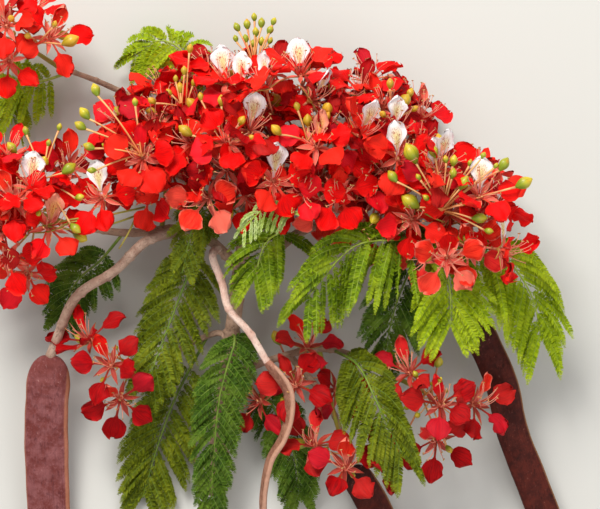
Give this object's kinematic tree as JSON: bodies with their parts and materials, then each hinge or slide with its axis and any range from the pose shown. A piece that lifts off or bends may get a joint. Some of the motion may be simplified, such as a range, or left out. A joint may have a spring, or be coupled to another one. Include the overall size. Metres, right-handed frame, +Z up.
{
  "type": "flame tree branch",
  "caption": "Cut flowering branch of a flame tree: forked woody limbs with trusses of scarlet blooms and buds, feathery twice-divided leaves and long flat woody pods.",
  "frame": {"origin": "centre of the bounding box in plan, on the surface that the branch lies on", "axes": "+Y from the tips of the pods to the crown of blooms, +Z up from the surface to the blooms' faces, +X to the right when seen from above with the crown away"},
  "size_m": [0.9094, 0.9802, 0.2607],
  "materials": {
    "bark": "pinkish grey-brown bark, matt",
    "pod": "dark purple-brown woody pod, slight sheen",
    "leaf": "soft green leaflets",
    "truss": "scarlet blooms and yellow-green buds on green twigs",
    "petal": "scarlet petals, velvety"
  },
  "bodies": {
    "root": {"bough": "bark", "shoot_crown": "bark", "shoot_left": "bark", "shoot_right": "bark", "shoot_top_left": "bark", "shoot_back": "bark", "shoot_low_right": "bark", "shoot_low_left": "bark", "stalk_left": "bark", "stalk_middle": "bark", "stalk_right": "bark", "stalk_low": "bark", "pod_left": "pod", "pod_right": "pod", "pod_low": "pod", "pod_twisted": "pod", "bloom_front_1": "petal", "bloom_front_2": "petal", "bloom_front_right_1": "petal", "bloom_front_right_2": "petal", "bloom_left_1": "petal", "bloom_left_2": "petal", "bloom_top_1": "petal", "bloom_top_2": "petal", "bloom_upper_left_1": "petal", "bloom_upper_right_1": "petal", "bloom_upper_right_2": "petal", "bloom_right_1": "petal", "bloom_right_2": "petal", "bloom_far_left_1": "petal", "bloom_far_left_2": "petal", "truss_front": "truss", "truss_front_right": "truss", "truss_left": "truss", "truss_top": "truss", "truss_upper_left": "truss", "truss_upper_right": "truss", "truss_middle_right": "truss", "truss_right": "truss", "truss_far_left": "truss", "truss_top_left": "truss", "truss_low_right": "truss", "truss_low_left": "truss", "truss_low_middle": "truss", "truss_low_centre": "truss", "leaf_right": "leaf", "leaf_middle_right": "leaf", "leaf_middle_back": "leaf", "leaf_young_front": "leaf", "leaf_centre": "leaf", "leaf_unfurling": "leaf", "leaf_hanging_centre": "leaf", "leaf_hanging_left": "leaf", "leaf_low_left": "leaf", "leaf_low_right": "leaf", "leaf_low_middle": "leaf", "leaf_top_left": "leaf", "leaf_top": "leaf", "leaf_left": "leaf", "leaf_under_blooms": "leaf"}
  },
  "joints": []
}
